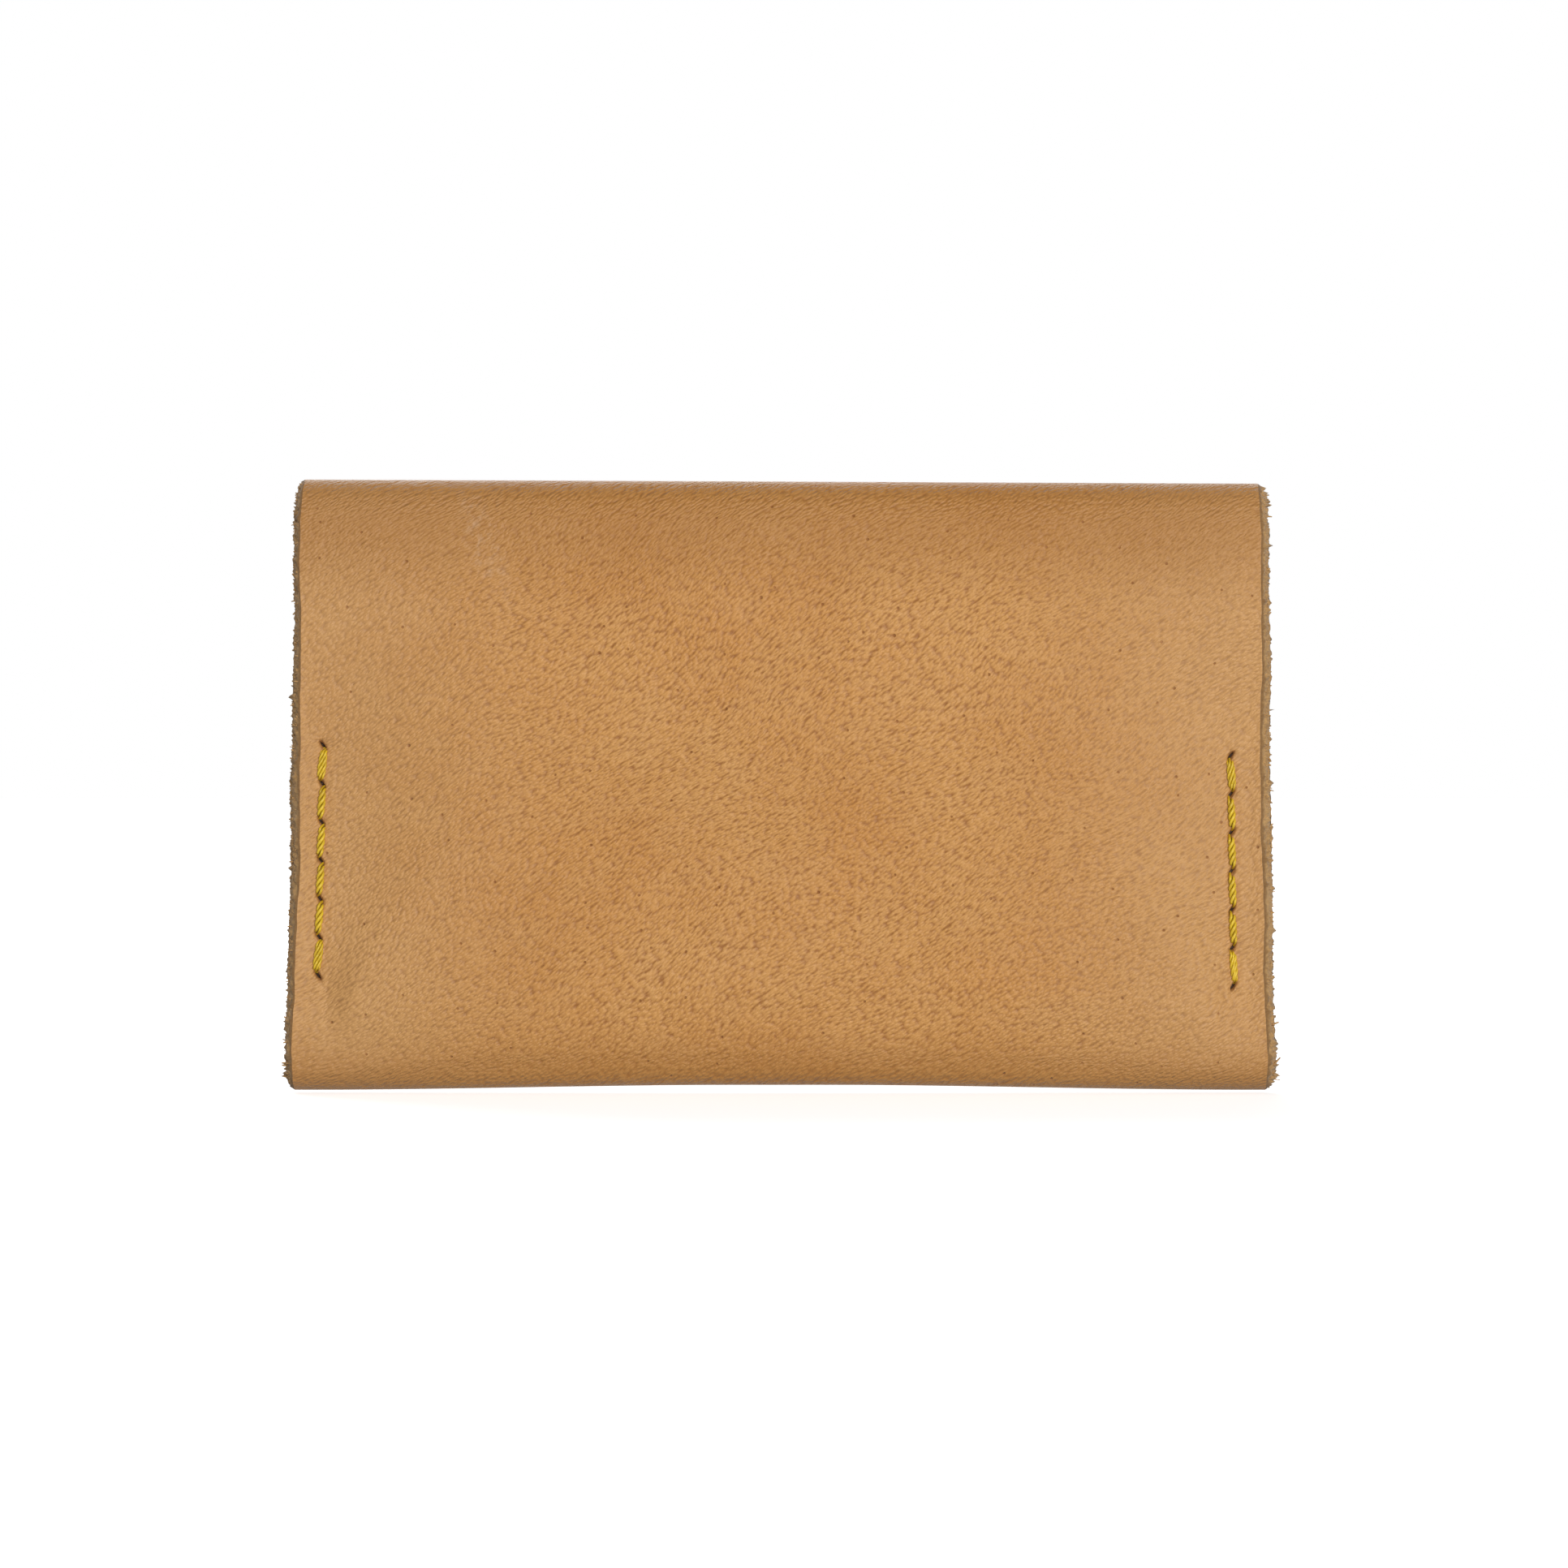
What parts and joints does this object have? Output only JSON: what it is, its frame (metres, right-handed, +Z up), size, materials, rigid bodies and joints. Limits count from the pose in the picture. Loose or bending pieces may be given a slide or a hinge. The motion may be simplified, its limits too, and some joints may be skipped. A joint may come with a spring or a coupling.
{
  "type": "card holder",
  "caption": "Fold-over leather card holder: a strip folded into a card pocket and a covering flap, saddle-stitched along both sides.",
  "frame": {"origin": "middle of the lowest line of the bottom fold, half way through the closed thickness", "axes": "+Z up towards the top fold, -Y out of the plain back panel, +Y out of the flap, +X across the width"},
  "size_m": [0.101, 0.0096, 0.0626],
  "materials": {
    "leather": "natural, unpolished",
    "thread": "waxed"
  },
  "bodies": {
    "holder": {"back_panel": "leather", "bottom_fold": "leather", "pocket_front": "leather", "left_seam_thread": "thread", "right_seam_thread": "thread"},
    "fold_1": {"top_fold_strip_1": "leather"},
    "fold_2": {"top_fold_strip_2": "leather"},
    "fold_3": {"top_fold_strip_3": "leather"},
    "flap": {"flap": "leather"}
  },
  "joints": [
    {"name": "flap_fold_1", "type": "hinge", "parent": "holder", "child": "fold_1", "pos_m": [0, -0.00443, 0.05964], "axis": [1, 0, 0], "range_deg": [0, 45], "stiffness_Nm_per_rad": 0.01},
    {"name": "flap_fold_2", "type": "hinge", "parent": "fold_1", "child": "fold_2", "pos_m": [0, -0.00184, 0.06223], "axis": [1, 0, 0], "range_deg": [0, 45]},
    {"name": "flap_fold_3", "type": "hinge", "parent": "fold_2", "child": "fold_3", "pos_m": [0, 0.00184, 0.06223], "axis": [1, 0, 0], "range_deg": [0, 45]},
    {"name": "flap_fold_4", "type": "hinge", "parent": "fold_3", "child": "flap", "pos_m": [0, 0.00443, 0.05964], "axis": [1, 0, 0], "range_deg": [0, 45]}
  ],
  "couplings": [
    {"joint": "flap_fold_2", "follows": "flap_fold_1", "ratio": 1},
    {"joint": "flap_fold_3", "follows": "flap_fold_1", "ratio": 1},
    {"joint": "flap_fold_4", "follows": "flap_fold_1", "ratio": 1}
  ]
}
